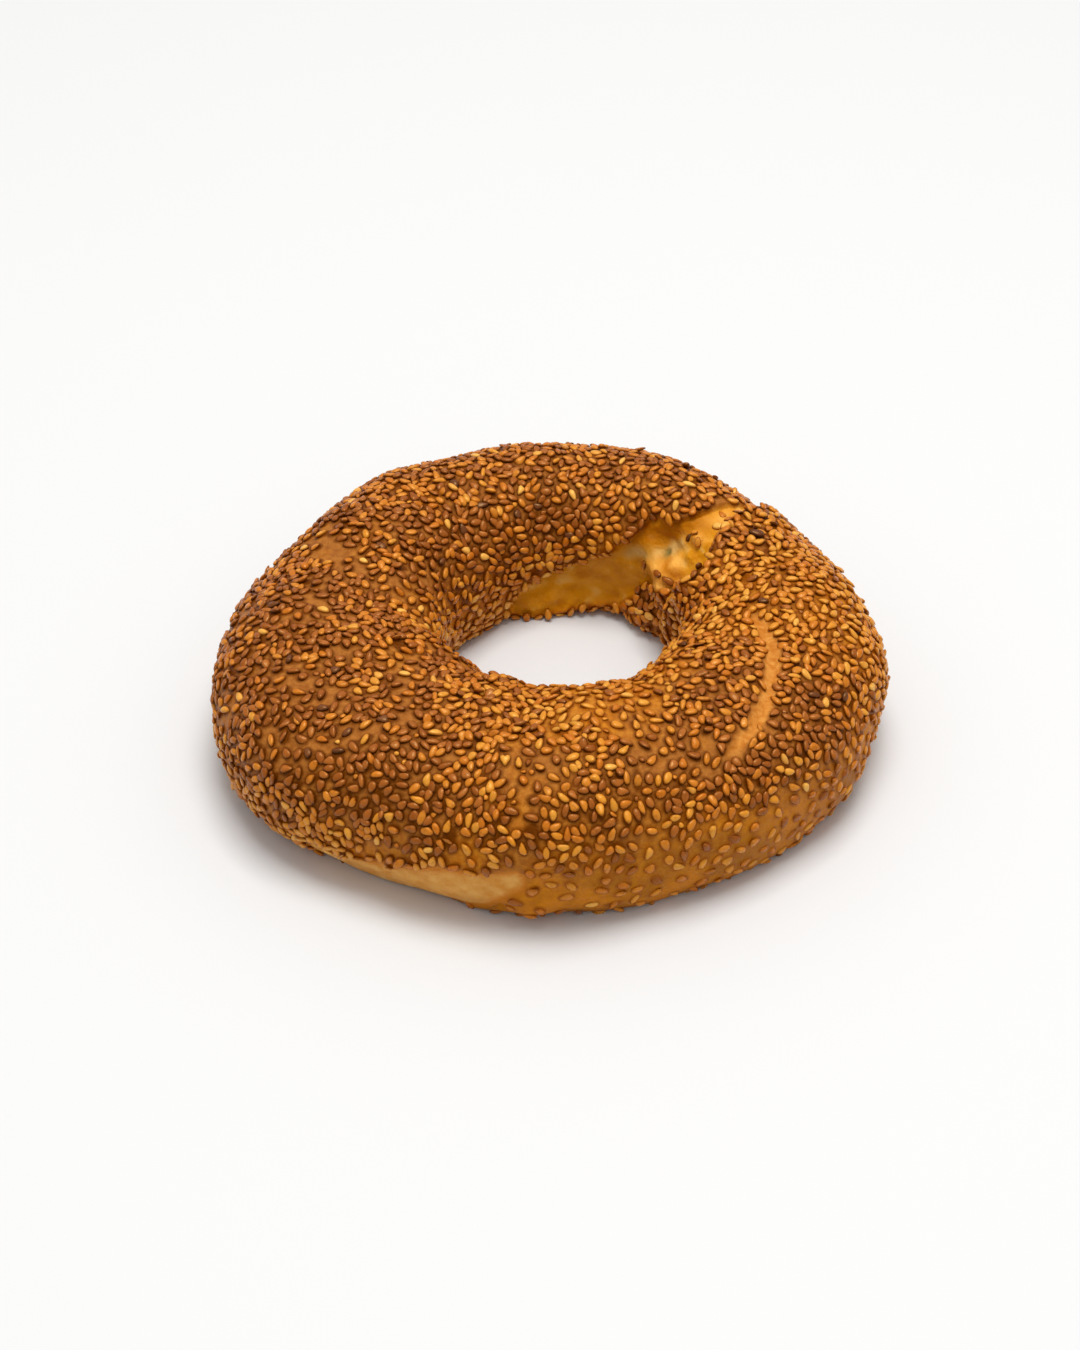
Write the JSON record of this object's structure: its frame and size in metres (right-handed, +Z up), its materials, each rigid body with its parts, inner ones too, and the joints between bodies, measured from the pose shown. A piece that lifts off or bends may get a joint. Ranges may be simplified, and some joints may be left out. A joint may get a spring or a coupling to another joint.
{
  "type": "simit",
  "caption": "Ring-shaped sesame bread of twisted dough, with a lapped join, a flat base and an open centre.",
  "frame": {"origin": "middle of the outline seen from above, on the face it rests on", "axes": "+Z up out of the ring, +X along the ring's longest side, -Y towards the front, with the join at the right and back"},
  "size_m": [0.1613, 0.1524, 0.0394],
  "materials": {
    "crust": "baked brown crust, satin, golden low on the sides, bare pale dough in the tear and the scuff",
    "sesame_pale": "lightly toasted sesame, satin",
    "sesame_golden": "golden sesame, satin",
    "sesame_amber": "amber sesame, satin",
    "sesame_toasted": "well toasted sesame, satin",
    "sesame_dark": "dark toasted sesame, satin"
  },
  "bodies": {
    "root": {"simit": "crust"}
  },
  "joints": []
}
